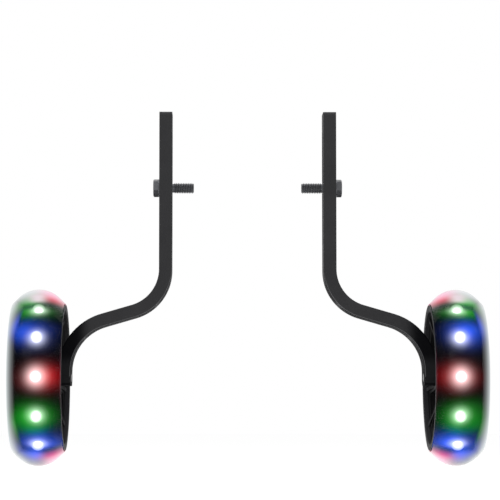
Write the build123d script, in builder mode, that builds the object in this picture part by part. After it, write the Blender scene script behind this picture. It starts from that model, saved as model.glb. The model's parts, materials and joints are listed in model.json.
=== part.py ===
from build123d import *
import os
from math import cos, radians, sin, tan

# A pair of training wheels: slotted steel arms, each with a free-running wheel that lights up as it rolls.
# Millimetres. Origin midway between the two mounting bolts, on their common axis.
# +X to the right wheel, +Z up. The right side is modelled and the left is its mirror image.

# Arm: flat steel bar with two bends
mount_gap = 111.8  # clear width between the two arms
bar_width = 25.0
bar_thickness = 9.5
bar_edge = 0.8  # rolled radius along the bar's edges
upper_bend_inside = 27.5  # inside radius
lower_bend_inside = 34.5
arm_reach = 74.1  # sideways step from the upper run to the foot
arm_slant = 16.2  # fall of the middle run below level, in degrees
axle_drop = 140.5  # mounting bolt down to wheel axle
bend_above_axle = 34.0  # height of the lower bend's corner over the wheel axle
arm_above_bolt = 56.0
arm_below_axle = 6.2
top_corner = 3.0
foot_corner = 7.5
slot_below_top = 13.7  # solid bar above the height slot
slot_above_bend = 18.4  # solid bar between the slot and the upper bend
slot_edge = 0.5  # chamfer round the slot on both faces

# Mounting bolt and washer
bolt_diameter = 8.0
bolt_clearance = 0.3  # around the bolt in the slot
bolt_head_flats = 12.0
bolt_head_height = 3.6
bolt_head_chamfer = 0.7
bolt_turn = 16.8  # how far the head is turned, in degrees
stud_length = 16.0  # thread that stands in from the arm
stud_relief = 0.1  # thread radius less than the shank's
stud_tip = 1.0
undercut_width = 1.4  # groove where the thread runs out at the shank
undercut_depth = 0.7
washer_diameter = 13.2
washer_thickness = 1.0
washer_clearance = 0.2

# Wheel axle and its nut
tenon_diameter = 6.0  # riveted flush into the arm's foot
collar_diameter = 12.0
collar_thickness = 1.6
axle_washer_diameter = 12.0
axle_washer_thickness = 1.6
nut_flats = 13.0
nut_height = 4.0
nut_chamfer = 0.8
thread_past_nut = 0.5
axle_tip = 0.6

# Shielded ball bearings, and the generator between them
bearing_bore = 8.0
bearing_diameter = 22.0
bearing_width = 7.0
race_inner_wall = 2.05
race_outer_wall = 1.55
shield_thickness = 0.4
shield_inset = 0.3  # how far a shield lies below the bearing's face
shield_gap = 0.2  # between a shield and the turning inner race
generator_length = 5.4
coil_wall = 2.5
air_gap = 1.0  # between the magnet and the coil that turns round it

# Fits
seat_clearance = 0.02  # radial, for pressed, threaded and cast seats

# Hub: one moulding
wheel_overlap = 5.2  # how far the wheel's inner side reaches over the arm's foot
rim_diameter = 106.8
rim_width = 34.0
rim_wall = 4.4
rim_edge = 0.8  # rounding of the rim's two inner edges
lip_depth = 3.8  # bare rim inside the wheel's inner side, before the web
web_thickness = 3.5
web_root = 1.5  # fillet where the web meets the rim and the boss
dish_radius = 33.0  # the web is flat out to here and then dishes to the rim
boss_wall = 5.0
spoke_count = 10
spoke_width = 7.0
spoke_phase = -10.0  # turn of the spokes, in degrees
window_boss_margin = 5.0
window_rim_margin = 4.5
window_corner = 2.0
rib_thickness = 2.8
rib_rise = 1.4  # how far a rib stands out of the web's inner side at the rim
rib_lead = 2.0  # how far inside the dish's edge a rib starts to stand out
rib_rim_setback = 4.0
rib_boss_setback = 1.5
rib_root = 0.6  # how far a rib's ends run into the rim and the boss

# Tyre: clear polyurethane, cast round the rim and over its outer side
tyre_side = 0.8  # straight side over the rim
tread_radius = 21.0  # round of the tread between the two flanks
flank_slope = 45.0  # of the straight flanks, in degrees
tyre_wrap = 5.0  # thickness over the rim's outer side
wrap_depth = 3.6  # of the wrap below the rim's surface
tyre_shoulder = 1.5  # rounding of the outer shoulder
tyre_lip = 1.0  # rounding of the wrap's inner edge

# Lamps: a flexible strip in a groove round the rim
lamp_size = 5.0
lamp_height = 1.6
lamp_clearance = 0.2
lamp_offset = 0.8  # of the lamps from the rim's middle, away from the arm
lamp_colours = 3
lamps_per_colour = 4
strip_width = 10.0
strip_thickness = 0.4
strip_clearance = 0.2

# Hub cap
cap_socket_depth = 3.2
cap_socket_step = 2.5  # how much wider than the bearing seat the socket is
cap_wall = 1.2
cap_rim = 1.2  # thickness of the cap's edge on the boss
cap_shoulder = 4.0  # how far in from the cap's edge its flat face starts
cap_bulge = 0.7  # rise of the round between the cap's edge and its flat face
cap_clearance = 0.5  # between the axle's end and the cap

# Places along X, from the middle outwards
upper_inner = mount_gap / 2
upper_outer = upper_inner + bar_thickness
foot_inner = upper_inner + arm_reach
foot_outer = foot_inner + bar_thickness
bearing_start = foot_outer + collar_thickness
generator_start = bearing_start + bearing_width
generator_end = generator_start + generator_length
bearing_end = generator_end + bearing_width
boss_end = bearing_end + cap_socket_depth
nut_start = bearing_end + axle_washer_thickness
nut_end = nut_start + nut_height
axle_end = nut_end + thread_past_nut
cap_end = axle_end + cap_clearance + cap_wall
wheel_inner = foot_outer - wheel_overlap
rim_outer = wheel_inner + rim_width
wheel_outer = rim_outer + tyre_wrap
lamp_middle = (wheel_inner + rim_outer) / 2 + lamp_offset
lip_end = wheel_inner + lip_depth

# Heights
wheel_height = -axle_drop
arm_top = arm_above_bolt
arm_foot = wheel_height - arm_below_axle
lower_bend = wheel_height + bend_above_axle
upper_bend = lower_bend + arm_reach * tan(radians(arm_slant))
upper_bend_radius = upper_bend_inside + bar_thickness / 2
lower_bend_radius = lower_bend_inside + bar_thickness / 2
bend_tangent = upper_bend_radius * tan(radians(90 - arm_slant) / 2)
slot_width = bolt_diameter + 2 * bolt_clearance
slot_top = arm_top - slot_below_top - slot_width / 2
slot_bottom = upper_bend + bend_tangent + slot_above_bend + slot_width / 2

# Radii about the wheel axle
axle_radius = bearing_bore / 2
bore_radius = bearing_diameter / 2 + seat_clearance
boss_radius = bore_radius + boss_wall
socket_radius = bore_radius + cap_socket_step
rim_radius = rim_diameter / 2
barrel_radius = rim_radius - rim_wall
groove_radius = rim_radius - strip_thickness - lamp_height - lamp_clearance
strip_radius = groove_radius + seat_clearance + strip_thickness
shoulder_radius = rim_radius + tyre_side
flank_run = (wheel_outer - wheel_inner) / 2 - tread_radius * sin(radians(flank_slope))
flank_radius = shoulder_radius + flank_run * tan(radians(flank_slope))
tyre_radius = flank_radius + tread_radius * (1 - cos(radians(flank_slope)))
hex_half_angle = radians(30)
inner_race_radius = axle_radius + race_inner_wall
outer_race_bore = bearing_diameter / 2 - race_outer_wall
coil_bore = bearing_diameter / 2 - coil_wall

# The wheel turns about spin. Its sections are drawn as (X, radius) and its patterns as (Y, Z).
spin = Axis((0, 0, wheel_height), (1, 0, 0))
wheel_section = Plane((0, 0, wheel_height), x_dir=(1, 0, 0), z_dir=(0, -1, 0))
wheel_face = Plane((0, 0, wheel_height), x_dir=(0, 1, 0), z_dir=(1, 0, 0))


def turned_ring(start, end, inner_radius, outer_radius):
    """A plain ring about the wheel axle, from start to end along X."""
    with BuildPart() as ring:
        with BuildSketch(wheel_section):
            with Locations((start, inner_radius)):
                Rectangle(end - start, outer_radius - inner_radius, align=Align.MIN)
        revolve(axis=spin)
    return ring


def hex_blank(face, height, flats, chamfer_height, turn):
    """A hexagon on the plane face, with its outer corners turned off at 30 degrees."""
    corner_radius = flats / 2 / cos(hex_half_angle)
    flat_radius = corner_radius - chamfer_height / tan(hex_half_angle)
    with BuildPart() as blank:
        with BuildSketch(face):
            RegularPolygon(flats / 2, 6, major_radius=False, rotation=turn)
        extrude(amount=height)
        with BuildSketch(Plane(face.origin, x_dir=face.z_dir, z_dir=-face.x_dir)):
            with BuildLine():
                Polyline(
                    (0, 0),
                    (0, corner_radius),
                    (height - chamfer_height, corner_radius),
                    (height, flat_radius),
                    (height, 0),
                    close=True,
                )
            make_face()
        revolve(axis=Axis(face.origin, face.z_dir), mode=Mode.INTERSECT)
    return blank


def bearing_shields(start):
    """The two thin shields of the bearing whose inner face is at start."""
    outer_edge = outer_race_bore - seat_clearance
    near = start + shield_inset
    far = start + bearing_width - shield_inset - shield_thickness
    with BuildPart() as shields:
        for place in (near, far):
            with BuildSketch(wheel_section):
                with Locations((place, inner_race_radius + shield_gap)):
                    shield_height = outer_edge - inner_race_radius - shield_gap
                    Rectangle(shield_thickness, shield_height, align=Align.MIN)
            revolve(axis=spin)
    return shields


def lamp_ring(first_angle):
    """The lamps of one colour, seated on the strip and evenly spaced round the rim."""
    with BuildPart(wheel_face.offset(lamp_middle)) as lamps:
        with PolarLocations(strip_radius, lamps_per_colour, start_angle=first_angle):
            lowest = (Align.MIN, Align.CENTER, Align.CENTER)
            Box(lamp_height, lamp_size, lamp_size, align=lowest)
    return lamps


# Arm: the bar swept along its bends, rounded at both ends, slotted and drilled
with BuildPart() as arm:
    with BuildLine(Plane.XZ):
        FilletPolyline(
            (upper_inner + bar_thickness / 2, arm_top),
            (upper_inner + bar_thickness / 2, upper_bend),
            (foot_inner + bar_thickness / 2, lower_bend),
            (foot_inner + bar_thickness / 2, arm_foot),
            radius=(upper_bend_radius, lower_bend_radius),
        )
    with BuildSketch(Plane.XY.offset(arm_top)):
        with Locations((upper_inner + bar_thickness / 2, 0)):
            RectangleRounded(bar_thickness, bar_width, bar_edge)
    sweep()
    with BuildSketch(Plane.YZ) as side_view:
        with Locations((0, arm_foot)):
            Rectangle(bar_width, arm_top - arm_foot, align=(Align.CENTER, Align.MIN))
        fillet(side_view.vertices().group_by(Axis.Y)[-1], radius=top_corner)
        fillet(side_view.vertices().group_by(Axis.Y)[0], radius=foot_corner)
    extrude(amount=foot_outer, mode=Mode.INTERSECT)
    with BuildSketch(Plane.YZ.offset(upper_inner)):
        with Locations((0, (slot_top + slot_bottom) / 2)):
            SlotCenterToCenter(slot_top - slot_bottom, slot_width, rotation=90)
    extrude(amount=bar_thickness, mode=Mode.SUBTRACT)
    for face, depth in ((upper_inner, slot_edge), (upper_outer, -slot_edge)):
        with BuildSketch(Plane.YZ.offset(face)):
            with Locations((0, (slot_top + slot_bottom) / 2)):
                SlotCenterToCenter(slot_top - slot_bottom, slot_width + 2 * slot_edge, rotation=90)
        extrude(amount=depth, taper=45, mode=Mode.SUBTRACT)
    with BuildSketch(wheel_face.offset(foot_inner)):
        Circle(tenon_diameter / 2 + seat_clearance)
    extrude(amount=bar_thickness, mode=Mode.SUBTRACT)

# Mounting bolt: hex head on the washer, shank through the slot, thread towards the middle
head_start = upper_outer + washer_thickness
with BuildPart() as mounting_bolt:
    head_face = Plane.YZ.offset(head_start)
    add(hex_blank(head_face, bolt_head_height, bolt_head_flats, bolt_head_chamfer, bolt_turn))
    with BuildSketch(Plane.XZ):
        with BuildLine():
            shank_radius = bolt_diameter / 2
            thread_radius = shank_radius - stud_relief
            undercut_radius = shank_radius - undercut_depth
            Polyline(
                (head_start, 0),
                (head_start, shank_radius),
                (upper_inner, shank_radius),
                (upper_inner, undercut_radius),
                (upper_inner - undercut_width, undercut_radius),
                (upper_inner - undercut_width, thread_radius),
                (upper_inner - stud_length + stud_tip, thread_radius),
                (upper_inner - stud_length, thread_radius - stud_tip),
                (upper_inner - stud_length, 0),
                close=True,
            )
        make_face()
    revolve(axis=Axis.X)

# Mounting washer: between the bolt's head and the arm
with BuildPart() as mounting_washer:
    with BuildSketch(Plane.YZ.offset(upper_outer)):
        Circle(washer_diameter / 2)
        Circle(bolt_diameter / 2 + washer_clearance, mode=Mode.SUBTRACT)
    extrude(amount=washer_thickness)

# Wheel axle: tenon in the foot, collar against the arm, journal and thread
with BuildPart() as wheel_axle:
    with BuildSketch(wheel_section):
        with BuildLine():
            Polyline(
                (foot_inner, 0),
                (foot_inner, tenon_diameter / 2),
                (foot_outer, tenon_diameter / 2),
                (foot_outer, collar_diameter / 2),
                (bearing_start, collar_diameter / 2),
                (bearing_start, axle_radius),
                (axle_end - axle_tip, axle_radius),
                (axle_end, axle_radius - axle_tip),
                (axle_end, 0),
                close=True,
            )
        make_face()
    revolve(axis=spin)

# Bearings at both ends of the boss
race_bore = axle_radius + seat_clearance
inner_bearing_inner_race = turned_ring(bearing_start, generator_start, race_bore, inner_race_radius)
inner_bearing_outer_race = turned_ring(bearing_start, generator_start, outer_race_bore, bearing_diameter / 2)
inner_bearing_shields = bearing_shields(bearing_start)
outer_bearing_inner_race = turned_ring(generator_end, bearing_end, race_bore, inner_race_radius)
outer_bearing_outer_race = turned_ring(generator_end, bearing_end, outer_race_bore, bearing_diameter / 2)
outer_bearing_shields = bearing_shields(generator_end)

# Generator: the magnet stays on the axle while the coil turns round it with the hub
magnet = turned_ring(generator_start, generator_end, race_bore, coil_bore - air_gap)
coil = turned_ring(generator_start, generator_end, coil_bore, bearing_diameter / 2)

# Axle washer and lock nut: clamp both inner races and the magnet against the collar
axle_washer = turned_ring(bearing_end, nut_start, axle_radius + washer_clearance, axle_washer_diameter / 2)
with BuildPart() as lock_nut:
    add(hex_blank(wheel_face.offset(nut_start), nut_height, nut_flats, nut_chamfer, 0))
    with BuildSketch(wheel_face.offset(nut_start)):
        Circle(race_bore)
    extrude(amount=nut_height, mode=Mode.SUBTRACT)

# Hub: turned section of rim, dished web and boss, then windows through the web and ribs along the spokes
with BuildPart() as hub:
    groove_half = strip_width / 2 + strip_clearance
    with BuildSketch(wheel_section) as hub_section:
        with BuildLine():
            Polyline(
                (wheel_inner, barrel_radius),
                (wheel_inner, rim_radius),
                (lamp_middle - groove_half, rim_radius),
                (lamp_middle - groove_half, groove_radius),
                (lamp_middle + groove_half, groove_radius),
                (lamp_middle + groove_half, rim_radius),
                (rim_outer, rim_radius),
                (rim_outer, barrel_radius),
                (lip_end + web_thickness, barrel_radius),
                (bearing_start + web_thickness, dish_radius),
                (bearing_start + web_thickness, boss_radius),
                (boss_end, boss_radius),
                (boss_end, socket_radius),
                (bearing_end, socket_radius),
                (bearing_end, bore_radius),
                (bearing_start, bore_radius),
                (bearing_start, dish_radius),
                (lip_end, barrel_radius),
                close=True,
            )
        make_face()
        barrel_corners = hub_section.vertices().filter_by_position(Axis.Y, barrel_radius, barrel_radius)
        barrel_corners = barrel_corners.sort_by(Axis.X)
        fillet([barrel_corners[0], barrel_corners[-1]], radius=rim_edge)
        fillet(barrel_corners[1:-1], radius=web_root)
    revolve(axis=spin)
    with BuildSketch(wheel_face.offset(wheel_inner)) as windows:
        Circle(barrel_radius - window_rim_margin)
        Circle(boss_radius + window_boss_margin, mode=Mode.SUBTRACT)
        with PolarLocations(0, spoke_count, start_angle=spoke_phase):
            from_axle = (Align.MIN, Align.CENTER)
            Rectangle(barrel_radius, spoke_width, align=from_axle, mode=Mode.SUBTRACT)
        fillet(windows.vertices(), radius=window_corner)
    extrude(amount=boss_end - wheel_inner, mode=Mode.SUBTRACT)
    spoke_turns = [spoke_phase - 90 + turn * 360 / spoke_count for turn in range(spoke_count)]
    with BuildSketch(*[wheel_section.rotated((turn, 0, 0)) for turn in spoke_turns]):
        with BuildLine():
            Polyline(
                (bearing_start, boss_radius - rib_root),
                (bearing_start, dish_radius - rib_lead),
                (lip_end - rib_rise, barrel_radius),
                (lip_end - rib_rise, barrel_radius + rib_root),
                (rim_outer - rib_rim_setback, barrel_radius + rib_root),
                (rim_outer - rib_rim_setback, barrel_radius),
                (boss_end - rib_boss_setback, boss_radius),
                (boss_end - rib_boss_setback, boss_radius - rib_root),
                close=True,
            )
        make_face()
    extrude(amount=rib_thickness / 2, both=True)

# Hub cap: skirt in the boss's socket, edge on the boss, shallow dome over the nut
with BuildPart() as hub_cap:
    skirt_radius = socket_radius - seat_clearance
    with BuildSketch(wheel_section):
        with BuildLine():
            Polyline(
                (cap_end, 0),
                (cap_end - cap_wall, 0),
                (cap_end - cap_wall, skirt_radius - cap_wall),
                (bearing_end, skirt_radius - cap_wall),
                (bearing_end, skirt_radius),
                (boss_end, skirt_radius),
                (boss_end, boss_radius),
                (boss_end + cap_rim, boss_radius),
            )
            SagittaArc(
                (boss_end + cap_rim, boss_radius),
                (cap_end, boss_radius - cap_shoulder),
                -cap_bulge,
            )
            Line((cap_end, boss_radius - cap_shoulder), (cap_end, 0))
        make_face()
    revolve(axis=spin)

# Tyre: round tread between sloping flanks, and a wrap over the rim's outer side
with BuildPart() as tyre:
    tyre_bore = rim_radius + seat_clearance
    wrap_start = rim_outer + seat_clearance
    with BuildSketch(wheel_section) as tyre_section:
        with BuildLine():
            Polyline(
                (wheel_inner, tyre_bore),
                (wheel_inner, shoulder_radius),
                (wheel_inner + flank_run, flank_radius),
            )
            ThreePointArc(
                (wheel_inner + flank_run, flank_radius),
                ((wheel_inner + wheel_outer) / 2, tyre_radius),
                (wheel_outer - flank_run, flank_radius),
            )
            Polyline(
                (wheel_outer - flank_run, flank_radius),
                (wheel_outer, shoulder_radius),
                (wheel_outer, rim_radius - wrap_depth),
                (wrap_start, rim_radius - wrap_depth),
                (wrap_start, tyre_bore),
                (wheel_inner, tyre_bore),
            )
        make_face()
        outer_corners = tyre_section.vertices().group_by(Axis.X)[-1].sort_by(Axis.Y)
        fillet(outer_corners[-1], radius=tyre_shoulder)
        fillet(outer_corners[0], radius=tyre_lip)
    revolve(axis=spin)

# Lamps and the strip that feeds them
lamp_strip = turned_ring(
    lamp_middle - strip_width / 2,
    lamp_middle + strip_width / 2,
    groove_radius + seat_clearance,
    strip_radius,
)
lamp_pitch = 360 / lamps_per_colour / lamp_colours
red_lamps = lamp_ring(0)
green_lamps = lamp_ring(lamp_pitch)
blue_lamps = lamp_ring(2 * lamp_pitch)

pieces = {
    "arm": arm,
    "mounting_bolt": mounting_bolt,
    "mounting_washer": mounting_washer,
    "wheel_axle": wheel_axle,
    "inner_bearing_inner_race": inner_bearing_inner_race,
    "inner_bearing_outer_race": inner_bearing_outer_race,
    "inner_bearing_shields": inner_bearing_shields,
    "outer_bearing_inner_race": outer_bearing_inner_race,
    "outer_bearing_outer_race": outer_bearing_outer_race,
    "outer_bearing_shields": outer_bearing_shields,
    "magnet": magnet,
    "coil": coil,
    "axle_washer": axle_washer,
    "lock_nut": lock_nut,
    "hub": hub,
    "hub_cap": hub_cap,
    "tyre": tyre,
    "lamp_strip": lamp_strip,
    "red_lamps": red_lamps,
    "green_lamps": green_lamps,
    "blue_lamps": blue_lamps,
}

# Write each piece twice: as modelled on the right, and mirrored on the left
os.makedirs("parts", exist_ok=True)
for name, piece in pieces.items():
    piece.part.label = "right_" + name
    export_step(piece.part, "parts/right_" + name + ".step")
    with BuildPart() as mirrored:
        mirror(piece.part, about=Plane.YZ)
    mirrored.part.label = "left_" + name
    export_step(mirrored.part, "parts/left_" + name + ".step")
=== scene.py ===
import json
from functools import partial
from math import asin, cos, pi, radians, sin, tan, tau

import bpy
from mathutils import Matrix, Vector


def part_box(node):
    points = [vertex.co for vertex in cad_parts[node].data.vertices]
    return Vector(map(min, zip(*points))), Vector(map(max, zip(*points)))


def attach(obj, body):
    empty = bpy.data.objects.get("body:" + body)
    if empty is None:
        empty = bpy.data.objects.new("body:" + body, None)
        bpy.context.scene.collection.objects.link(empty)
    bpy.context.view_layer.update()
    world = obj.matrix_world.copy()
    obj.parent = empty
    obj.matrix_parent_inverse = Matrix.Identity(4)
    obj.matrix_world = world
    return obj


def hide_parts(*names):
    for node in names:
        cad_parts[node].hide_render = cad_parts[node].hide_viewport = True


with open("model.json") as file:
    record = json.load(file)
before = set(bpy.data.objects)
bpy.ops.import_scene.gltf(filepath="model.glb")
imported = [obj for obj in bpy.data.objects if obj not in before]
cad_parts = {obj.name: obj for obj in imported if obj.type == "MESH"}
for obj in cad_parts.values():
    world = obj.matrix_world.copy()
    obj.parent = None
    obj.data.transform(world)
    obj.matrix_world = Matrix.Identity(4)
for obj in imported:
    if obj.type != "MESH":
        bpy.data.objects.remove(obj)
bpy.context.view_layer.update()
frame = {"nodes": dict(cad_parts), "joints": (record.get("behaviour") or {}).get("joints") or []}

bl_info = {
    "name": "Light-up training wheels",
    "version": (1, 0, 0),
    "blender": (4, 5, 0),
    "location": "View3D > Sidebar > Training wheels",
    "description": "Finishes a pair of training wheels: painted arms, clear lit tyres, "
    "moulded hubs and threaded bolts",
    "category": "Object",
}

SIDES = ("left", "right")

# A millimetre, how near two points are that become one, and how exact a cut is, in metres
MM = 0.001
MERGE_DISTANCE = 0.000001
CUT_ACCURACY = 0.0000001

# Faces round the bolts' pieces, and the angles in degrees past which edges stay crisp
THREAD_STEPS, SHANK_STEPS, HEAD_STEPS = 40, 48, 96
TYRE_CRISP, BOLT_CRISP = 35, 30

# Smooth ramps and the even edge blend that the finishes share, and the urethane's thickest haze
SMOOTH = {"interpolation_type": "SMOOTHSTEP"}
EVEN_BLEND = 0.5
FULL_HAZE = 0.97

# Places on the right side, in metres, read from the frame. The left side is its mirror image.
TYRE_LOW, TYRE_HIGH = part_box("right_tyre")
HUB_LOW, HUB_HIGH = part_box("right_hub")
LAMPS_LOW, LAMPS_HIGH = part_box("right_red_lamps")
BOLT_LOW, BOLT_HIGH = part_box("right_mounting_bolt")
WASHER_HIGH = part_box("right_mounting_washer")[1]
ARM_LOW, ARM_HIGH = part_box("right_arm")
AXLE_HEIGHT = (TYRE_LOW.z + TYRE_HIGH.z) / 2
TYRE_RADIUS = (TYRE_HIGH.z - TYRE_LOW.z) / 2
RIM_RADIUS = (HUB_HIGH.z - HUB_LOW.z) / 2
LAMP_MIDDLE = (LAMPS_LOW.x + LAMPS_HIGH.x) / 2
LAMPS_PER_COLOUR = 4
LAMP_COLOURS = ("red", "green", "blue")


def linear(code):
    """An sRGB colour such as #1A2B3C as linear red, green and blue."""
    parts = [int(code[place:place + 2], 16) / 255 for place in (1, 3, 5)]
    return tuple(c / 12.92 if c <= 0.04045 else ((c + 0.055) / 1.055) ** 2.4 for c in parts)


def length(name, description, millimetres):
    """A length property, in metres, with its default in millimetres."""
    return bpy.props.FloatProperty(
        name=name,
        description=description,
        default=millimetres * MM,
        precision=5,
        subtype="DISTANCE",
        unit="LENGTH",
    )


def colour(name, description, code):
    """A colour property with its default as an sRGB hex code."""
    return bpy.props.FloatVectorProperty(
        name=name,
        description=description,
        default=linear(code),
        min=0,
        max=1,
        subtype="COLOR",
    )


class WheelSizes(bpy.types.PropertyGroup):
    """Sizes of the pieces that are modelled here"""

    steps: bpy.props.IntProperty(name="Steps", description="Faces round a wheel", default=192, min=48)
    shoulder: length("Shoulder", "Height of the tyre's straight side over the rim", 0.8)
    tread_radius: length("Tread radius", "Round of the tread between the two flanks", 21.0)
    flank_slope: bpy.props.FloatProperty(
        name="Flank slope",
        description="Slope of the tyre's straight flanks",
        default=radians(45),
        subtype="ANGLE",
        unit="ROTATION",
    )
    shoulder_round: length("Shoulder rounding", "Radius of the tyre's outer shoulder", 1.5)
    lip_round: length("Lip rounding", "Radius of the tyre's other edges", 0.6)
    wrap_depth: length("Wrap depth", "How far the tyre reaches down the rim's outer side", 3.6)
    bond_gap: length("Bond gap", "Room between pieces that are cast together", 0.02)
    core_rise: length("Core rise", "Height of the smoked inner layer over the rim", 2.6)
    core_edge: length("Core edge", "Height of the inner layer at its two edges", 0.5)
    lens_radius: length("Lens radius", "Radius of the domes over the lamps", 5.0)
    lens_rise: length("Lens rise", "Height of the domes over the inner layer", 4.6)
    thread_pitch: length("Thread pitch", "Pitch of the mounting bolts' thread", 1.25)
    thread_depth: length("Thread depth", "Depth of the mounting bolts' thread", 0.75)
    bolt_radius: length("Bolt radius", "Radius of the mounting bolts' shank", 4.0)
    undercut_width: length("Undercut width", "Groove where the thread runs out", 1.4)
    undercut_depth: length("Undercut depth", "Depth of that groove", 0.7)
    bolt_flats: length("Bolt head", "Width of the bolt's head across its flats", 12.0)
    bolt_head_chamfer: length("Head chamfer", "Height of the chamfer on the head's corners", 0.7)
    bolt_turn: bpy.props.FloatProperty(
        name="Head turn",
        description="How far the bolts' heads are turned",
        default=radians(16.8),
        subtype="ANGLE",
        unit="ROTATION",
    )


class WheelColours(bpy.types.PropertyGroup):
    """Colours of the finishes"""

    paint: colour("Paint", "Powder coat on the arms", "#1B1B1D")
    rubbed: colour("Rubbed paint", "Paint polished by the sliding washer", "#2B2B2D")
    # a painted highlight: a light line along the arms' lower edges
    edge_highlight: colour("Worn paint", "Paint worn thin along the arms' lower edges", "#626264")
    # painted shade in the lower bends and under the arms; the same dark colour is the coat on the axles'
    # riveted ends
    coat_and_shade: colour("Thick coat", "Powder coat in the lower bends and under the arms", "#08080B")
    plating: colour("Plating", "Black zinc on the mounting bolts", "#57585B")
    steel: colour("Steel", "Ground steel of axles and bearings", "#B7B8BA")
    magnet: colour("Magnet", "Sintered ferrite", "#3A3A3D")
    copper: colour("Copper", "Enamelled copper wire", "#B9683A")
    hub: colour("Hub", "Black moulded nylon", "#0A0A0B")
    # painted light: the hub's inner lip drawn lighter, as if lit
    lip_light: colour("Hub lip", "Nylon of the hub's scuffed inner lip", "#303032")
    board: colour("Board", "Black flexible circuit", "#101312")
    pad: colour("Pad", "Tinned copper pads on the circuit", "#B9A987")
    # painted light: the pale haze glows in the clear urethane instead of being lit; it is also the faint
    # colour of the bonded faces
    urethane: colour("Urethane", "Pale haze in the clear urethane", "#D6DDDE")
    # painted as a glow: a grey line along the clear urethane's inner edge
    lip: colour("Lip", "Inner edge of the clear urethane", "#8A8F92")
    glare: colour("Glare", "Pale glare of the red lamps in the clear urethane", "#E6D6DF")
    smoke: colour("Smoke", "Smoked inner layer of the tyre", "#08080B")
    rose: colour("Rose", "Red lamps' light in the clear urethane, near the lamps", "#EC5068")
    magenta: colour("Magenta", "Red lamps' light in the clear urethane, towards the blue lamps", "#EE2F86")
    pink: colour("Pink", "Red lamps' light in the clear urethane, at the outline", "#F9BAD4")
    red: colour("Red lamps", "Light of the red lamps", "#F0101C")
    green: colour("Green lamps", "Light of the green lamps", "#10B020")
    blue: colour("Blue lamps", "Light of the blue lamps", "#2A5AF0")


class StageSettings(bpy.types.PropertyGroup):
    """Camera, lamps and floor"""

    camera: bpy.props.FloatVectorProperty(
        name="Camera",
        description="Where the camera stands",
        default=(-0.024, -1.669, -0.1645),
        subtype="TRANSLATION",
        unit="LENGTH",
    )
    aim: bpy.props.FloatVectorProperty(
        name="Aim",
        description="The point in the middle of the picture",
        default=(0.0018, 0.0, -0.0459),
        subtype="TRANSLATION",
        unit="LENGTH",
    )
    lens: bpy.props.FloatProperty(
        name="Lens",
        description="Focal length on a 36 mm sensor",
        default=162.4,
        unit="CAMERA",
    )
    ambient: bpy.props.FloatProperty(name="Ambient", description="Soft light from all round", default=0.55)
    floor_glow: bpy.props.FloatProperty(
        name="Floor glow",
        description="Lift that keeps the floor white to the eye",
        default=0.5,
    )


def set_inputs(node, *values, **named):
    """Give a node's inputs values or links, in order or by their names with underscores."""
    in_order = zip([socket for socket in node.inputs if socket.enabled], values)
    by_name = [(node.inputs[name.replace("_", " ")], value) for name, value in named.items()]
    for socket, value in [*in_order, *by_name]:
        if isinstance(value, bpy.types.NodeSocket):
            node.id_data.links.new(value, socket)
        elif socket.type == "RGBA":
            socket.default_value = (*value, 1)
        else:
            socket.default_value = value


def add_node(tree, kind, *values, **named):
    """Add a node: settings in small letters, inputs in order or capitalised. Returns its first output."""
    made = tree.nodes.new("ShaderNode" + kind)
    for name in [name for name in named if name.islower()]:
        setattr(made, name, named.pop(name))
    set_inputs(made, *values, **named)
    return next((socket for socket in made.outputs if socket.enabled), None)


def new_finish(name):
    """A new material, a call that adds nodes to it, its Principled shader and its Object coordinates."""
    made = bpy.data.materials.new(name)
    made.use_nodes = True
    add = partial(add_node, made.node_tree)
    place = add("TexCoord").node.outputs["Object"]
    return made, add, made.node_tree.nodes["Principled BSDF"], place


def grain(add, place, millimetres, detail=2.0, stretch=(1, 1, 1)):
    """Noise whose lumps are about this many millimetres wide, stretched along the axes."""
    spaced = add("Mapping", Vector=place, Scale=stretch)
    return add("TexNoise", Vector=spaced, Scale=1000 / millimetres, Detail=detail)


def bell(add, value, middle, width):
    """A bell that is 1 where a value is at its middle, and falls off over this width."""
    off = add("Math", value, middle, operation="SUBTRACT")
    off = add("Math", off, width, operation="DIVIDE")
    squared = add("Math", off, off, operation="MULTIPLY")
    halved = add("Math", squared, -0.5, operation="MULTIPLY")
    return add("Math", halved, operation="EXPONENT")


def wheel_axes(add, place):
    """Distance from the middle, angle round the wheel axle and distance from it, as sockets."""
    centred = add("VectorMath", place, (0, 0, -AXLE_HEIGHT), operation="ADD")
    x, y, z = add("SeparateXYZ", centred).node.outputs
    outward = add("Math", x, operation="ABSOLUTE")
    angle = add("Math", z, y, operation="ARCTAN2")
    radius = add("VectorMath", add("CombineXYZ", Y=y, Z=z), operation="LENGTH")
    return outward, angle, radius


def turned_away(add, angle):
    """How far round the wheel a place is turned from the eye: 0 facing it, 1 at the wheel's outline."""
    across = add("Math", angle, operation="COSINE")
    up = add("Math", angle, operation="SINE")
    spoke = add(
        "VectorTransform",
        add("CombineXYZ", Y=across, Z=up),
        vector_type="NORMAL",
        convert_from="OBJECT",
        convert_to="WORLD",
    )
    return add("LayerWeight", Blend=EVEN_BLEND, Normal=spoke).node.outputs["Facing"]


def from_lamp(add, angle, number, turn_mm=0.0):
    """Angle from the nearest lamp of one colour, or from a place moved round the rim from it."""
    pitch = tau / LAMPS_PER_COLOUR
    start = pitch * (0.5 - number / len(LAMP_COLOURS)) - turn_mm * MM / RIM_RADIUS
    turns = add("Math", angle, start, operation="ADD")
    turns = add("Math", turns, pitch, operation="FLOORED_MODULO")
    return add("Math", turns, pitch / 2, operation="SUBTRACT")


def lamp_falloff(add, outward, angle, number, round_mm, across_mm, lean_mm=0.0, turn_mm=0.0):
    """A bell of light by each lamp of one colour, with its widths and moves round and across the rim."""
    around = bell(add, from_lamp(add, angle, number, turn_mm), 0.0, round_mm * MM / RIM_RADIUS)
    across = bell(add, outward, LAMP_MIDDLE + lean_mm * MM, across_mm * MM)
    return add("Math", around, across, operation="MULTIPLY")


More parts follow.
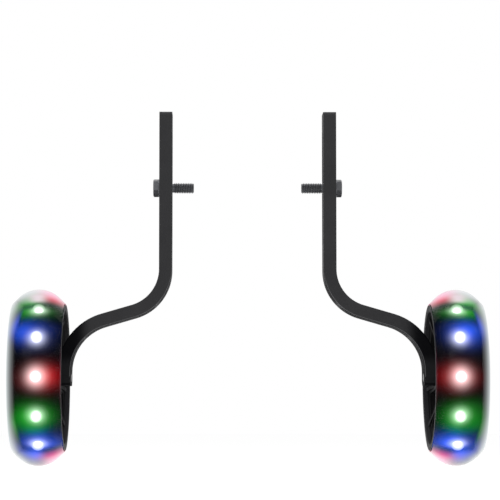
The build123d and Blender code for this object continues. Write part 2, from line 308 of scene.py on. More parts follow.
def pools_of_light(add, place, outward, angle, colours):
    """The colours that the lamps throw round themselves, as one colour socket."""
    cloud = grain(add, place, 34, detail=1)
    patchy = add("MapRange", cloud, 0.35, 0.65, 0.6, 1.25, **SMOOTH)
    height = add("Math", angle, operation="SINE")
    below = add("MapRange", height, -0.7, -0.3, 1, 0, **SMOOTH)
    above = add("Math", 1.0, below, operation="SUBTRACT")
    # each pool's width round and across the rim, lean outwards, turn round it, strength and where it shows
    pools = (
        ("red", 5.0, 8.0, -4.0, 0.0, 0.62, 1.0),
        ("green", 5.6, 8.6, 3.2, 0.0, 0.78, 1.0),
        ("blue", 6.0, 8.5, 5.5, -5.0, 1.0, above),
        ("blue", 7.5, 9.0, -2.0, 0.0, 1.25, below),
        ("green", 6.0, 9.0, 5.0, 7.0, 0.5, below),
    )
    total = (0, 0, 0)
    for name, *spread, strength, shown in pools:
        glow = lamp_falloff(add, outward, angle, LAMP_COLOURS.index(name), *spread)
        for share in (patchy, strength, shown):
            glow = add("Math", glow, share, operation="MULTIPLY")
        light = add("VectorMath", getattr(colours, name), glow, operation="SCALE")
        total = add("VectorMath", total, light, operation="ADD")
    return total


def powder_coat(colours):
    """Powder-coated steel: satin black with a fine orange peel, polished where the washer slides, with
    painted shade in the bends and under the arms and a painted highlight along the lower edges.
    """
    made, add, shader, place = new_finish("powder_coated_steel")
    x, y, z = add("SeparateXYZ", place).node.outputs
    turned_x, _, turned_z = add("SeparateXYZ", place.node.outputs["Normal"]).node.outputs

    # polished streaks beside the slot, which fade out at the track's sides and ends
    track_sides, track_ends = (6.6 * MM, 7.8 * MM), (43 * MM, 47 * MM)
    rub = grain(add, place, 1.2, stretch=(1, 1, 0.08))
    for axis, fade in ((y, track_sides), (z, track_ends)):
        distance = add("Math", axis, operation="ABSOLUTE")
        track = add("MapRange", distance, *fade, 1, 0, **SMOOTH)
        rub = add("Math", rub, track, operation="MULTIPLY")
    tone = add("Mix", rub, colours.paint, colours.rubbed, data_type="RGBA")

    # painted shade: darker in the lower bend, and from the upper bend down
    # on the face towards the middle and the floor
    lower_bend = ARM_HIGH.x - 27 * MM, ARM_HIGH.x - 12 * MM
    upper_bend = -75 * MM, -60 * MM
    sideways = add("Math", x, operation="ABSOLUTE")
    painted_shade = add("MapRange", sideways, *lower_bend, **SMOOTH)
    hand = add("Math", x, operation="SIGN")
    inward = add("Math", turned_x, hand, operation="MULTIPLY")
    lowest = add("Math", inward, turned_z, operation="MINIMUM")
    below_bend = add("MapRange", z, *upper_bend, 1, 0, **SMOOTH)
    under = add("MapRange", lowest, -0.8, -0.6, 1, 0, **SMOOTH)
    under = add("Math", under, below_bend, operation="MULTIPLY")
    painted_shade = add("Math", painted_shade, under, operation="MAXIMUM")
    tone = add("Mix", painted_shade, tone, colours.coat_and_shade, data_type="RGBA")

    # painted highlight: that face's rounded edge is lightened to a thin line, which stops at the foot's
    # round end
    foot_end = AXLE_HEIGHT + 2 * MM, AXLE_HEIGHT + 6 * MM
    above_end = add("MapRange", z, *foot_end, **SMOOTH)
    downward = add("Math", turned_z, above_end, operation="MULTIPLY")
    brink = add("Math", inward, downward, operation="MINIMUM")
    edge = add("Math", bell(add, brink, -0.4, 0.14), below_bend, operation="MULTIPLY")
    tone = add("Mix", edge, tone, colours.edge_highlight, data_type="RGBA")

    # less shine where the shade is painted, and a little glossier on the foot's other faces
    foot_top = AXLE_HEIGHT + 8 * MM, AXLE_HEIGHT + 18 * MM
    shine = add("MapRange", painted_shade, 0, 1, 0.3, 0.03, **SMOOTH)
    foot = add("MapRange", z, *foot_top, 0.18, 0, **SMOOTH)
    elsewhere = add("MapRange", under, 0, 1, 1, 0, **SMOOTH)
    foot = add("Math", foot, elsewhere, operation="MULTIPLY")
    shine = add("Math", shine, foot, operation="ADD")
    satin = add("MapRange", grain(add, place, 22), 0.3, 0.7, 0.62, 0.72, **SMOOTH)
    bump = add("Bump", Height=grain(add, place, 0.9), Strength=0.25, Distance=0.06 * MM)
    set_inputs(shader, Base_Color=tone, Roughness=satin, Normal=bump, Specular_IOR_Level=shine)
    return made


def black_zinc(colours):
    """Black zinc on a forged bolt: a dark metal sheen with fine turning marks round the bolt's axis."""
    made, add, shader, place = new_finish("black_zinc_plate")
    mark_spacing = 0.35 * MM
    _, y, z = add("SeparateXYZ", place).node.outputs
    radius = add("VectorMath", add("CombineXYZ", Y=y, Z=z), operation="LENGTH")
    marks = add("Math", radius, tau / mark_spacing, operation="MULTIPLY")
    rings = add("Math", marks, operation="SINE")
    sheen = add("MapRange", grain(add, place, 1.6), 0.3, 0.7, 0.26, 0.4, **SMOOTH)
    bump = add("Bump", Height=rings, Strength=0.08, Distance=0.02 * MM)
    set_inputs(shader, Base_Color=colours.plating, Metallic=1.0, Roughness=sheen, Normal=bump)
    return made


def ground_steel(colours):
    """Ground bearing steel: bright, with fine grinding lines round the wheel axle."""
    made, add, shader, place = new_finish("ground_steel")
    outward, _, _ = wheel_axes(add, place)
    lines = grain(add, place, 0.5, stretch=(1, 0.05, 0.05))
    sheen = add("MapRange", lines, 0.3, 0.7, 0.2, 0.32, **SMOOTH)
    bump = add("Bump", Height=lines, Strength=0.1, Distance=0.01 * MM)
    # the axle's riveted end is painted over with the arm
    paint_edge = ARM_HIGH.x - 8 * MM, ARM_HIGH.x - 7.5 * MM
    painted = add("MapRange", outward, *paint_edge, 1, 0, **SMOOTH)
    tone = add("Mix", painted, colours.steel, colours.coat_and_shade, data_type="RGBA")
    bare = add("Math", 1.0, painted, operation="SUBTRACT")
    set_inputs(shader, Base_Color=tone, Metallic=bare, Roughness=sheen, Normal=bump)
    return made


def sintered_ferrite(colours):
    """Sintered ferrite: matt dark grey with a dense grain."""
    made, add, shader, place = new_finish("sintered_ferrite")
    specks = grain(add, place, 0.4, detail=4)
    matt = add("MapRange", specks, 0.35, 0.65, 0.55, 0.75, **SMOOTH)
    bump = add("Bump", Height=specks, Strength=0.3, Distance=0.03 * MM)
    set_inputs(shader, Base_Color=colours.magnet, Roughness=matt, Normal=bump)
    return made


def copper_wire(colours):
    """Enamelled copper wire: fine turns side by side with a warm metal gloss."""
    made, add, shader, place = new_finish("enamelled_copper_wire")
    wire_spacing = 0.5 * MM
    x, _, _ = add("SeparateXYZ", place).node.outputs
    turns = add("Math", x, tau / wire_spacing, operation="MULTIPLY")
    wires = add("Math", turns, operation="SINE")
    bump = add("Bump", Height=wires, Strength=0.8, Distance=0.2 * MM)
    set_inputs(shader, Base_Color=colours.copper, Metallic=1.0, Roughness=0.3, Normal=bump)
    return made


def moulded_nylon(colours):
    """Moulded black nylon: a fine spark-eroded grain, faint flow clouds and a greyer inner lip that is
    painted light.
    """
    made, add, shader, place = new_finish("moulded_nylon")
    outward, _, radius = wheel_axes(add, place)
    # painted light: the inner lip is drawn lighter than the rest of the hub, as if lit
    lip_depth = HUB_LOW.x + 3 * MM, HUB_LOW.x + 4.2 * MM
    lip_radius = 44 * MM, 45.5 * MM
    lip = add("MapRange", outward, *lip_depth, 1, 0, **SMOOTH)
    by_rim = add("MapRange", radius, *lip_radius, **SMOOTH)
    lip = add("Math", lip, by_rim, operation="MULTIPLY")
    tone = add("Mix", lip, colours.hub, colours.lip_light, data_type="RGBA")
    # the mould was polished on the wheel's outer side
    polish = HUB_LOW.x + 5 * MM, HUB_LOW.x + 11 * MM
    shine = add("MapRange", outward, *polish, 0.06, 0.24, **SMOOTH)
    satin = add("MapRange", grain(add, place, 14), 0.3, 0.7, 0.54, 0.64, **SMOOTH)
    bump = add("Bump", Height=grain(add, place, 0.5, detail=3), Strength=0.35, Distance=0.06 * MM)
    set_inputs(shader, Base_Color=tone, Roughness=satin, Normal=bump, Specular_IOR_Level=shine)
    return made


def lit_core(colours):
    """Smoked urethane by the lamps: black, with pools of coloured light and a white halo round each lamp."""
    made, add, shader, place = new_finish("smoked_urethane")
    outward, angle, radius = wheel_axes(add, place)
    total = pools_of_light(add, place, outward, angle, colours)
    # how white and how coloured each colour's halo is, and its width in millimetres
    halos = {"red": (1.1, 0.25, 4.3), "green": (0.9, 0.5, 3.6), "blue": (1.05, 0.3, 3.7)}
    for number, name in enumerate(LAMP_COLOURS):
        white, full, spread = halos[name]
        pale = [white + full * part for part in getattr(colours, name)]
        glow = lamp_falloff(add, outward, angle, number, spread, spread)
        halo = add("VectorMath", pale, glow, operation="SCALE")
        total = add("VectorMath", total, halo, operation="ADD")
    # the domes over the lamps are clear lenses with a white-hot heart
    dome_foot = RIM_RADIUS + 2.7 * MM, RIM_RADIUS + 3.5 * MM
    heart_light, heart_power = 1.4, 4.0
    dome = add("MapRange", radius, *dome_foot, **SMOOTH)
    edge = add("LayerWeight", Blend=EVEN_BLEND).node.outputs["Facing"]
    heart = add("Math", 1.0, edge, operation="SUBTRACT")
    heart = add("Math", heart, heart_power, operation="POWER")
    for share in (heart_light, dome):
        heart = add("Math", heart, share, operation="MULTIPLY")
    total = add("VectorMath", total, heart, operation="ADD")
    set_inputs(
        shader,
        Base_Color=colours.smoke,
        Roughness=0.5,
        Specular_IOR_Level=0.0,
        Emission_Color=total,
        Emission_Strength=1.0,
    )
    return made


def clear_urethane(colours):
    """Clear cast urethane: glossy and see-through, milky at its side and where it turns from the eye, with
    the milky haze painted on as a glow.
    """
    made, add, shader, place = new_finish("clear_urethane")
    outward, angle, radius = wheel_axes(add, place)
    away = turned_away(add, angle)
    sideways = add("Math", 1.0, away, operation="SUBTRACT")
    for operation in ("ARCCOSINE", "SINE"):
        sideways = add("Math", sideways, operation=operation)
    # a height that follows the tread's crown about half-way
    follow, tread_height = 0.55, TYRE_RADIUS - 2.5 * MM
    flattened = add("Math", radius, follow, (1 - follow) * tread_height, operation="MULTIPLY_ADD")
    height = add("Math", flattened, sideways, operation="MULTIPLY")

    # through the side: from further in, the more the tyre turns away
    reach = add("MapRange", away, 0.14, 1.0, 7.5 * MM, 25.5 * MM)
    from_edge = add("Math", TYRE_HIGH.x, outward, operation="SUBTRACT")
    depth = add("Math", from_edge, reach, operation="DIVIDE")
    depth = add("Math", 1.0, depth, operation="SUBTRACT", use_clamp=True)
    side = add("MapRange", depth, 0, 0.36, 0, FULL_HAZE, **SMOOTH)
    side_light = add("Math", depth, 2.6, operation="POWER")

    # over the top and the bottom: first dark like the layer below, then pale
    ends = add("MapRange", height, 48 * MM, 55 * MM, 0, FULL_HAZE, **SMOOTH)
    end_light = add("MapRange", height, 52 * MM, 63.5 * MM, **SMOOTH)
    lit = add("Math", side_light, end_light, operation="MAXIMUM")
    # painted light: the pale haze glows, brighter where lit is higher
    tint = add("VectorMath", colours.urethane, lit, operation="SCALE")

    # the red lamps' light over the inner half: red first and then pink,
    # with more blue on the blue lamps' side
    from_red = from_lamp(add, angle, LAMP_COLOURS.index("red"))
    level = add("Math", flattened, add("Math", from_red, operation="COSINE"), operation="MULTIPLY")
    towards_green = add("MapRange", from_red, -0.2, 0.2, **SMOOTH)
    hue = add("Mix", towards_green, colours.magenta, colours.rose, data_type="RGBA")
    outermost = add("MapRange", level, 55.5 * MM, 61.5 * MM, **SMOOTH)
    hue = add("Mix", outermost, hue, colours.pink, data_type="RGBA")
    strength = add("MapRange", level, 52 * MM, 58.8 * MM, **SMOOTH)
    hue = add("VectorMath", hue, strength, operation="SCALE")
    inner_half = bell(add, outward, LAMP_MIDDLE - 10 * MM, 7 * MM)
    raised = add("MapRange", level, 47 * MM, 53 * MM, **SMOOTH)
    inner_half = add("Math", inner_half, raised, operation="MULTIPLY")
    tint = add("Mix", inner_half, tint, hue, data_type="RGBA")

    # painted shade: darker on the underside, in line with the lamps
    facing = add("NewGeometry").node.outputs
    skyward = add("SeparateXYZ", facing["Normal"]).node.outputs["Z"]
    underside = add("MapRange", skyward, -0.7, -0.2, 1, 0, **SMOOTH)
    in_line = bell(add, outward, LAMP_MIDDLE + 3 * MM, 7 * MM)
    underside = add("Math", underside, in_line, operation="MULTIPLY")
    shade = add("MapRange", underside, 0, 1, 1, 0.42, **SMOOTH)
    tint = add("VectorMath", tint, shade, operation="SCALE")

    # the pools of light below
    shown = add("MapRange", lit, 0, 0.8, 1.2, 0.55, **SMOOTH)
    outer_half = add("MapRange", inner_half, 0, 1, 1, 0.15, **SMOOTH)
    shown = add("Math", shown, outer_half, operation="MULTIPLY")
    pools = pools_of_light(add, place, outward, angle, colours)
    pools = add("VectorMath", pools, shown, operation="SCALE")
    tint = add("VectorMath", tint, pools, operation="ADD")

    # pale glare of the red lamps towards the green ones
    glare = bell(add, outward, LAMP_MIDDLE + 1 * MM, 4 * MM)
    for value, *fade in (
        (level, 51.5 * MM, 55.5 * MM),
        (level, 57.5 * MM, 60.5 * MM, 1, 0),
        (from_red, 0, 0.2, 0, 0.9),
    ):
        share = add("MapRange", value, *fade, **SMOOTH)
        glare = add("Math", glare, share, operation="MULTIPLY")
    tint = add("Mix", glare, tint, colours.glare, data_type="RGBA")

    # painted shade: a thin grey line at the very outline; and a grey inner edge, painted as a glow
    grazing = add("LayerWeight", Blend=EVEN_BLEND).node.outputs["Facing"]
    rim_line = add("MapRange", grazing, 0.9, 1, 1, 0.7, **SMOOTH)
    tint = add("VectorMath", tint, rim_line, operation="SCALE")
    lip_edge = TYRE_LOW.x + 0.2 * MM, TYRE_LOW.x + 0.8 * MM
    lip = add("MapRange", outward, *lip_edge, 0.5, 0, **SMOOTH)
    tint = add("Mix", lip, tint, colours.lip, data_type="RGBA")

    haze = side
    for other in (ends, lip):
        haze = add("Math", haze, other, operation="MAXIMUM")
    bump = add("Bump", Height=grain(add, place, 9), Strength=0.1, Distance=0.2 * MM)
    set_inputs(
        shader,
        Base_Color=colours.smoke,
        Roughness=0.4,
        Specular_IOR_Level=0.1,
        Normal=bump,
        Emission_Color=tint,
        Emission_Strength=1.0,
    )
    clear = add("BsdfTransparent", (0.98, 0.99, 0.99))
    body = add("MixShader", haze, clear, shader.outputs[0])
    gloss = add("BsdfGlossy", Roughness=0.12, Normal=bump)
    # only the outer face mirrors
    front = add("Math", 1.0, facing["Backfacing"], operation="SUBTRACT")
    mirror = add("Math", add("Fresnel", IOR=1.12), front, operation="MULTIPLY")
    surface = add("MixShader", mirror, body, gloss)
    set_inputs(made.node_tree.nodes["Material Output"], Surface=surface)
    return made


def bonded_urethane(colours):
    """Urethane bonded to the layer below: it has no shine of its own, and light passes straight on."""
    made, add, shader, place = new_finish("bonded_urethane")
    faint = add("MapRange", grain(add, place, 20), 0.3, 0.7, 0, 0.004, **SMOOTH)
    set_inputs(shader, Base_Color=colours.urethane, Roughness=0.6, Alpha=faint)
    return made


def flexible_board(colours):
    """Flexible circuit: matt black film with tinned pads at even steps round the rim."""
    made, add, shader, place = new_finish("flexible_circuit")
    pad_spacing = 8 * MM
    _, angle, _ = wheel_axes(add, place)
    arc = add("Math", angle, RIM_RADIUS / pad_spacing, operation="MULTIPLY")
    part = add("Math", arc, operation="FRACT")
    pad = add("MapRange", part, 0.7, 0.74, **SMOOTH)
    tone = add("Mix", pad, colours.board, colours.pad, data_type="RGBA")
    set_inputs(shader, Base_Color=tone, Roughness=0.5)
    return made


def lit_lamp(colours, name):
    """A lit lamp: a bright round lens on a coloured body."""
    made, add, shader, place = new_finish(name + "_lamp_lens")
    light, lens_mm = getattr(colours, name), 1.5
    outward, angle, _ = wheel_axes(add, place)
    lens = lamp_falloff(add, outward, angle, LAMP_COLOURS.index(name), lens_mm, lens_mm)
    glow = add("Mix", lens, light, (1, 1, 1), data_type="RGBA")
    set_inputs(shader, Base_Color=light, Roughness=0.3, Emission_Color=glow, Emission_Strength=1.0)
    return made


def finish_nodes(material, *names):
    """Give the frame's own pieces of both sides this material."""
    for side in SIDES:
        for name in names:
            mesh = frame["nodes"][side + "_" + name].data
            mesh.materials.clear()
            mesh.materials.append(material)


def pick(*pieces):
    """Select these pieces and nothing else, with the first as the active one."""
    bpy.ops.object.select_all(action="DESELECT")
    for piece in pieces:
        piece.select_set(True)
    bpy.context.view_layer.objects.active = pieces[0]


def cut_off(place, normal, behind=True):
    """In edit mode: cut off all that lies behind or before a plane, and close the cut."""
    bpy.ops.mesh.select_all(action="SELECT")
    bpy.ops.mesh.bisect(
        plane_co=place,
        plane_no=normal,
        use_fill=True,
        clear_inner=behind,
        clear_outer=not behind,
        threshold=CUT_ACCURACY,
    )


def merge_doubles():
    """In edit mode: merge the points that lie on each other."""
    bpy.ops.mesh.select_all(action="SELECT")
    bpy.ops.mesh.remove_doubles(threshold=MERGE_DISTANCE)


def face_outwards():
    """Turn all faces in edit mode outwards, and leave edit mode."""
    bpy.ops.mesh.select_all(action="SELECT")
    bpy.ops.mesh.normals_make_consistent(inside=False)
    bpy.ops.object.mode_set(mode="OBJECT")


def start_line(name, points):
    """A new mesh: one vertex, extruded from point to point as an open line. It is left in edit mode."""
    bpy.ops.object.select_all(action="DESELECT")
    bpy.ops.mesh.primitive_plane_add(size=MM, location=(0, 0, 0))
    piece = bpy.context.object
    piece.name = piece.data.name = name
    bpy.ops.object.mode_set(mode="EDIT")
    bpy.ops.mesh.select_all(action="SELECT")
    bpy.ops.mesh.merge(type="CENTER")
    bpy.ops.transform.translate(value=points[0])
    for before, after in zip(points, points[1:]):
        bpy.ops.mesh.extrude_verts_indiv()
        bpy.ops.transform.translate(value=Vector(after) - Vector(before))
    bpy.ops.mesh.select_all(action="SELECT")
    return piece


def spun(name, outline, height, steps):
    """A turned piece: a closed outline of (X, radius) points spun round a line along X at this height."""
    closed = [*outline, outline[0]]
    piece = start_line(name, [(x, 0, height + radius) for x, radius in closed])
    bpy.ops.mesh.spin(steps=steps, angle=tau, center=(0, 0, height), axis=(1, 0, 0))
    merge_doubles()
    face_outwards()
    return piece


def arc_points(first, last, rise, count):
    """Points on the arc that rises this far over the line from first to last, as (X, radius)."""
    (x0, r0), (x1, r1) = first, last
    half = ((x1 - x0) ** 2 + (r1 - r0) ** 2) ** 0.5 / 2
    bend = (half ** 2 + rise ** 2) / (2 * rise)
    reach = asin(half / bend)
    along = Vector((x1 - x0, r1 - r0)) / (2 * half)
    out = Vector((-along.y, along.x))
    middle = Vector(((x0 + x1) / 2, (r0 + r1) / 2)) - out * (bend - rise)
    turns = [reach * (2 * step / count - 1) for step in range(count + 1)]
    return [tuple(middle + bend * (along * sin(turn) + out * cos(turn))) for turn in turns]


def rounded(corner, before, after, radius, count=5):
    """Points that round a corner of an outline off to about this radius."""
    corner = Vector(corner)
    start = corner + (Vector(before) - corner).normalized() * radius
    end = corner + (Vector(after) - corner).normalized() * radius
    steps = [step / count for step in range(count + 1)]
    return [tuple(start * (1 - t) ** 2 + corner * 2 * t * (1 - t) + end * t ** 2) for t in steps]


def copy_of(piece, name, transform):
    """A copy of a piece with its own mesh, moved by a matrix that is then applied."""
    pick(piece)
    bpy.ops.object.duplicate()
    copy = bpy.context.object
    copy.name = copy.data.name = name
    copy.matrix_world = transform
    bpy.ops.object.transform_apply(location=True, rotation=True, scale=True)
    bpy.ops.object.mode_set(mode="EDIT")
    face_outwards()
    return copy


def smooth(piece, degrees):
    """Shade a piece smooth, with edges sharper than this many degrees left crisp."""
    pick(piece)
    bpy.ops.object.shade_smooth_by_angle(angle=radians(degrees))


def combine(piece, other, operation):
    """Cut, join or trim a piece with another one, which is used up."""
    pick(piece)
    bpy.ops.object.modifier_add(type="BOOLEAN")
    cutter = piece.modifiers[-1]
    cutter.operation = operation
    cutter.object = other
    bpy.ops.object.modifier_apply(modifier=cutter.name)
    bpy.data.objects.remove(other)
    uses = {}
    for face in piece.data.polygons:
        for edge in face.edge_keys:
            uses[edge] = uses.get(edge, 0) + 1
    if not uses or set(uses.values()) != {2}:
        raise RuntimeError(f"{piece.name} is not closed after {operation.lower()}")


class FinishArms(bpy.types.Operator):
    """Paint both arms"""

    bl_idname = "training_wheels.finish_arms"
    bl_label = "Paint the arms"

    def execute(self, context):
        colours = context.scene.wheel_colours
        finish_nodes(powder_coat(colours), "arm")
        return {"FINISHED"}


class FinishHubs(bpy.types.Operator):
    """Finish the moulded hubs and their caps, and the axles, bearings and generators inside them"""

    bl_idname = "training_wheels.finish_hubs"
    bl_label = "Finish the hubs"

    def execute(self, context):
        colours = context.scene.wheel_colours
        finish_nodes(moulded_nylon(colours), "hub", "hub_cap")
        bearings = [
            f"{place}_bearing_{part}"
            for place in ("inner", "outer")
            for part in ("inner_race", "outer_race", "shields")
        ]
        finish_nodes(ground_steel(colours), "wheel_axle", "axle_washer", "lock_nut", *bearings)
        finish_nodes(sintered_ferrite(colours), "magnet")
        finish_nodes(copper_wire(colours), "coil")
        return {"FINISHED"}


class LightLamps(bpy.types.Operator):
    """Finish the lamp strips and switch the lamps on"""

    bl_idname = "training_wheels.light_lamps"
    bl_label = "Light the lamps"

    def execute(self, context):
        colours = context.scene.wheel_colours
        finish_nodes(flexible_board(colours), "lamp_strip")
        for name in LAMP_COLOURS:
            finish_nodes(lit_lamp(colours, name), name + "_lamps")
        return {"FINISHED"}


class CastTyres(bpy.types.Operator):
    """Cast the clear tyres over a smoked inner layer that the lamps light up"""

    bl_idname = "training_wheels.cast_tyres"
    bl_label = "Cast the tyres"

    def lenses(self, sizes, top, spare):
        """Domes over all the lamps of the right wheel up to this radius, larger all round by spare."""
        count = LAMPS_PER_COLOUR * len(LAMP_COLOURS)
        middle = AXLE_HEIGHT + top - sizes.lens_radius
        bpy.ops.object.select_all(action="DESELECT")
        bpy.ops.mesh.primitive_uv_sphere_add(
            segments=32,
            ring_count=16,
            radius=sizes.lens_radius + spare,
            location=(LAMP_MIDDLE, 0, middle),
        )
        bpy.ops.object.transform_apply(location=True, rotation=True, scale=True)
        first = bpy.context.object
        bpy.ops.object.mode_set(mode="EDIT")
        cut_off((LAMP_MIDDLE, 0, middle - sizes.lens_radius / 4), (0, 0, 1))
        bpy.ops.object.mode_set(mode="OBJECT")
        to_axle = Matrix.Translation((0, 0, AXLE_HEIGHT))
        domes = [first]
        for number in range(1, count):
            turn = to_axle @ Matrix.Rotation(tau * number / count, 4, "X") @ to_axle.inverted()
            domes.append(copy_of(first, "lens", turn))
        pick(*domes)
        bpy.ops.object.join()
        return first

    def execute(self, context):
        sizes, colours = context.scene.wheel_sizes, context.scene.wheel_colours
        inner, outer, rim_outer = TYRE_LOW.x, TYRE_HIGH.x, HUB_HIGH.x
        bore = RIM_RADIUS + sizes.bond_gap
        shoulder = RIM_RADIUS + sizes.shoulder
        wrap = rim_outer + sizes.bond_gap
        lip = RIM_RADIUS - sizes.wrap_depth
        core_steps, tread_steps = 24, 40

        # inner layer: a low crown on the rim
        edge = bore + sizes.core_edge
        low = (inner + sizes.bond_gap, edge)
        high = (rim_outer, edge)
        core_crown = arc_points(low, high, sizes.core_rise - sizes.core_edge, core_steps)
        core_outline = [(low[0], bore), *core_crown, (rim_outer, bore)]
        lens_top = bore + sizes.core_rise + sizes.lens_rise

        # clear tyre: round tread between sloping flanks, side wrap, and a bore that fits the inner layer
        run = (outer - inner) / 2 - sizes.tread_radius * sin(sizes.flank_slope)
        flank = shoulder + run * tan(sizes.flank_slope)
        tread = (inner + run, flank), (outer - run, flank)
        crown = arc_points(*tread, TYRE_RADIUS - flank, tread_steps)
        inner_edge = rounded((inner, shoulder), (inner, bore), crown[0], sizes.lip_round)
        outer_edge = rounded((outer, shoulder), crown[-1], (outer, lip), sizes.shoulder_round)
        side_lip = rounded((outer, lip), (outer, shoulder), (wrap, lip), sizes.lip_round)
        bond = [(x, radius + sizes.bond_gap) for x, radius in reversed(core_crown)]
        tyre_outline = [
            *inner_edge,
            *crown,
            *outer_edge,
            *side_lip,
            (wrap, lip),
            (wrap, bond[0][1]),
            *bond,
            (inner, bond[-1][1]),
        ]

        finishes = {
            "tyre_core": [lit_core(colours)],
            "clear_tyre": [clear_urethane(colours), bonded_urethane(colours)],
        }
        for name, outline in (("tyre_core", core_outline), ("clear_tyre", tyre_outline)):
            right = spun("right_" + name, outline, AXLE_HEIGHT, sizes.steps)
            if name == "tyre_core":
                combine(right, self.lenses(sizes, lens_top, 0), "UNION")
            else:
                combine(right, self.lenses(sizes, lens_top, sizes.bond_gap), "DIFFERENCE")
            smooth(right, TYRE_CRISP)
            right.data.materials.clear()
            for finish in finishes[name]:
                right.data.materials.append(finish)
            if name == "clear_tyre":
                # the faces on the inner layer and its domes are the bonded ones
                slack = 5 * sizes.bond_gap
                for face in right.data.polygons:
                    from_axle = Vector((face.center.y, face.center.z - AXLE_HEIGHT)).length
                    within = inner + sizes.bond_gap < face.center.x < wrap + sizes.bond_gap
                    in_bore = lip + sizes.bond_gap < from_axle < bore + sizes.core_rise + slack
                    by_lens = abs(face.center.x - LAMP_MIDDLE) < 2 * sizes.lens_radius
                    in_dome = by_lens and from_axle < lens_top + slack
                    face.material_index = 1 if within and (in_bore or in_dome) else 0
            left = copy_of(right, "left_" + name, Matrix.Scale(-1, 4, (1, 0, 0)))
            for side, piece in zip(SIDES, (left, right)):
                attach(piece, side + "_wheel_body")
                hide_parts(side + "_tyre")
        return {"FINISHED"}


class ForgeBolts(bpy.types.Operator):
    """Make the mounting bolts with their thread, and finish the washers"""

    bl_idname = "training_wheels.forge_bolts"
    bl_label = "Forge the bolts"

    def rod(self, sizes, tip, end):
        """The threaded length from its tip to end, with a chamfered tip."""
        pitch, crest = sizes.thread_pitch, sizes.bolt_radius
        root = crest - sizes.thread_depth
        # the winding starts this many pitches before the tip, and is cut to length below
        lead_in = 2.385
        first = tip - lead_in * pitch
        # one pitch of a metric thread: a flat root, a flank, a flat crest and a flank
        flank = pitch * 5 / 16
        steps = (0, pitch / 4, flank, pitch / 8, flank)
        places = [first + sum(steps[:count + 1]) for count in range(len(steps))]
        line = list(zip(places, (root, root, crest, crest, root)))
        piece = start_line("thread", [(x, 0, radius) for x, radius in line])
        bpy.ops.object.mode_set(mode="OBJECT")
        bpy.ops.object.modifier_add(type="SCREW")
        winding = piece.modifiers[-1]
        winding.axis = "X"
        winding.angle = tau
        winding.screw_offset = pitch
        winding.iterations = int((end - first) / pitch) + 2
        winding.steps = winding.render_steps = THREAD_STEPS
        bpy.ops.object.modifier_apply(modifier=winding.name)
        bpy.ops.object.mode_set(mode="EDIT")
        merge_doubles()
        for place, behind in ((tip - pitch / 3, True), (end, False)):
            cut_off((place, 0, 0), (1, 0, 0), behind)
        merge_doubles()
        face_outwards()
        past, clear, blunt = end + pitch, crest + pitch / 4, root - pitch / 8
        cone = [(tip, 0), (tip, blunt), (tip + clear - blunt, clear), (past, clear), (past, 0)]
        combine(piece, spun("tip_trim", cone, 0, THREAD_STEPS), "INTERSECT")
        return piece

    def bolt(self, sizes, name, turn):
        """A whole bolt of the right side, with its head turned."""
        head_start, head_end, arm_inner = WASHER_HIGH.x, BOLT_HIGH.x, ARM_LOW.x
        groove = arm_inner - sizes.undercut_width
        piece = self.rod(sizes, BOLT_LOW.x, groove)
        groove_radius = sizes.bolt_radius - sizes.undercut_depth
        neck_radius = groove_radius - sizes.thread_depth / 2
        into_head = head_start + sizes.undercut_width
        sunk = groove - sizes.undercut_width
        start = groove - sizes.bond_gap
        shank = [
            (sunk, 0),
            (sunk, neck_radius),
            (start, neck_radius),
            (start, groove_radius),
            (arm_inner, groove_radius),
            (arm_inner, sizes.bolt_radius),
            (into_head, sizes.bolt_radius),
            (into_head, 0),
        ]
        combine(piece, spun("shank", shank, 0, SHANK_STEPS), "UNION")
        corner = sizes.bolt_flats / 2 / cos(pi / 6)
        height = head_end - head_start
        bpy.ops.object.select_all(action="DESELECT")
        bpy.ops.mesh.primitive_cylinder_add(vertices=6, radius=corner, depth=2 * height)
        head = bpy.context.object
        head.matrix_world = (
            Matrix.Translation((head_start + height, 0, 0))
            @ Matrix.Rotation(turn, 4, "X")
            @ Matrix.Rotation(pi / 2, 4, "Y")
        )
        bpy.ops.object.transform_apply(location=True, rotation=True, scale=True)
        chamfer = sizes.bolt_head_chamfer
        flat = corner - chamfer * 3 ** 0.5
        dish = flat - chamfer
        past_corner = corner * 1.01
        turned = [
            (head_start - chamfer, 0),
            (head_start - chamfer, past_corner),
            (head_end - chamfer, past_corner),
            (head_end, flat),
            (head_end, dish),
            (head_end - chamfer / 3, dish - chamfer / 2),
            (head_end - chamfer / 3, 0),
        ]
        combine(head, spun("head_trim", turned, 0, HEAD_STEPS), "INTERSECT")
        combine(piece, head, "UNION")
        piece.name = piece.data.name = name
        smooth(piece, BOLT_CRISP)
        return piece

    def execute(self, context):
        sizes, colours = context.scene.wheel_sizes, context.scene.wheel_colours
        plating = black_zinc(colours)
        finish_nodes(plating, "mounting_washer")
        right = self.bolt(sizes, "right_bolt", sizes.bolt_turn)
        spare = self.bolt(sizes, "spare_bolt", -sizes.bolt_turn)
        left = copy_of(spare, "left_bolt", Matrix.Rotation(pi, 4, "Z"))
        bpy.data.objects.remove(spare)
        smooth(left, BOLT_CRISP)
        for side, piece in zip(SIDES, (left, right)):
            piece.data.materials.clear()
            piece.data.materials.append(plating)
            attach(piece, "mounting_fixings")
            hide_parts(side + "_mounting_bolt")
        return {"FINISHED"}


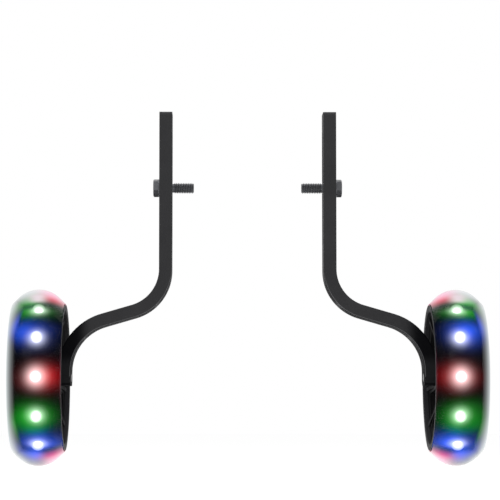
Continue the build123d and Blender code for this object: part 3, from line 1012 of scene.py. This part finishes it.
class SetStage(bpy.types.Operator):
    """Set the white floor, the soft lamps and the camera"""

    bl_idname = "training_wheels.set_stage"
    bl_label = "Set the stage"

    def seen_white(self, add):
        """A socket that is 1 for rays that the eye follows: straight, mirrored or through glass."""
        path = add("LightPath").node.outputs
        seen = path["Is Camera Ray"]
        for name in ("Is Glossy Ray", "Is Transmission Ray"):
            seen = add("Math", seen, path[name], operation="MAXIMUM")
        return seen

    def execute(self, context):
        scene, stage = context.scene, context.scene.wheel_stage
        scene.view_settings.view_transform = "Standard"

        world = bpy.data.worlds.new("white_studio")
        world.use_nodes = True
        scene.world = world
        add, nodes = partial(add_node, world.node_tree), world.node_tree.nodes
        set_inputs(nodes["Background"], Color=(1, 1, 1), Strength=stage.ambient)
        white = add("Background", Color=(1, 1, 1), Strength=1.0)
        shown = add("MixShader", self.seen_white(add), nodes["Background"].outputs[0], white)
        set_inputs(nodes["World Output"], Surface=shown)

        # the floor lies just below the wheels at the bottom of their height slots
        drop = min(joint["range_m"][0] for joint in frame["joints"] if joint["type"] == "slide")
        floor_width, floor_gap = 12, 0.2 * MM
        floor_height = TYRE_LOW.z + drop - floor_gap
        bpy.ops.object.select_all(action="DESELECT")
        bpy.ops.mesh.primitive_plane_add(size=floor_width, location=(0, 0, floor_height))
        floor = bpy.context.object
        floor.name = "floor"
        made, add, shader, _ = new_finish("white_paper")
        made.node_tree.nodes.remove(shader)
        paper = add("BsdfDiffuse", Color=linear("#F2F2F2"))
        lift = add("Math", self.seen_white(add), stage.floor_glow, operation="MULTIPLY")
        both = add("AddShader", paper, add("Emission", Strength=lift))
        set_inputs(made.node_tree.nodes["Material Output"], Surface=both)
        floor.data.materials.append(made)

        middle = Vector((0, 0, AXLE_HEIGHT / 2))
        # each softbox's place, width in metres and power in watts
        lamps = (
            ("key_softbox", (-0.75, -0.95, 0.75), 0.9, 7.0),
            ("fill_softbox", (0.95, -0.75, 0.35), 0.9, 3.0),
            ("top_softbox", (0.0, 0.15, 1.1), 1.0, 6.0),
        )
        for name, position, size, power in lamps:
            bpy.ops.object.light_add(type="AREA", location=position)
            lamp = bpy.context.object
            lamp.name = lamp.data.name = name
            lamp.data.size = size
            lamp.data.energy = power
            lamp.rotation_euler = (middle - Vector(position)).to_track_quat("-Z", "Y").to_euler()

        bpy.ops.object.camera_add(location=stage.camera)
        camera = bpy.context.object
        camera.data.lens = stage.lens
        camera.data.sensor_width = 36
        camera.data.clip_end = 50
        view = Vector(stage.aim) - Vector(stage.camera)
        camera.rotation_euler = view.to_track_quat("-Z", "Y").to_euler()
        scene.camera = camera
        return {"FINISHED"}


SETTINGS = {"wheel_sizes": WheelSizes, "wheel_colours": WheelColours, "wheel_stage": StageSettings}
OPERATORS = (FinishArms, FinishHubs, LightLamps, CastTyres, ForgeBolts, SetStage)


class WheelPanel(bpy.types.Panel):
    """Steps and settings of the training wheels"""

    bl_idname = "VIEW3D_PT_training_wheels"
    bl_label = "Training wheels"
    bl_space_type = "VIEW_3D"
    bl_region_type = "UI"
    bl_category = "Training wheels"

    def draw(self, context):
        for step in OPERATORS:
            self.layout.operator(step.bl_idname)
        for name in SETTINGS:
            group = getattr(context.scene, name)
            box = self.layout.box()
            for setting in group.__annotations__:
                box.prop(group, setting)


CLASSES = (*SETTINGS.values(), *OPERATORS, WheelPanel)


def register():
    """Add the classes, and the settings on the scene."""
    for made in CLASSES:
        bpy.utils.register_class(made)
    for name, group in SETTINGS.items():
        setattr(bpy.types.Scene, name, bpy.props.PointerProperty(type=group))


def unregister():
    """Take the settings and the classes away again."""
    for name in SETTINGS:
        delattr(bpy.types.Scene, name)
    for made in reversed(CLASSES):
        bpy.utils.unregister_class(made)


def main():
    """Register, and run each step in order."""
    register()
    bpy.ops.training_wheels.finish_arms()
    bpy.ops.training_wheels.finish_hubs()
    bpy.ops.training_wheels.light_lamps()
    bpy.ops.training_wheels.cast_tyres()
    bpy.ops.training_wheels.forge_bolts()
    bpy.ops.training_wheels.set_stage()


if __name__ == "__main__":
    main()
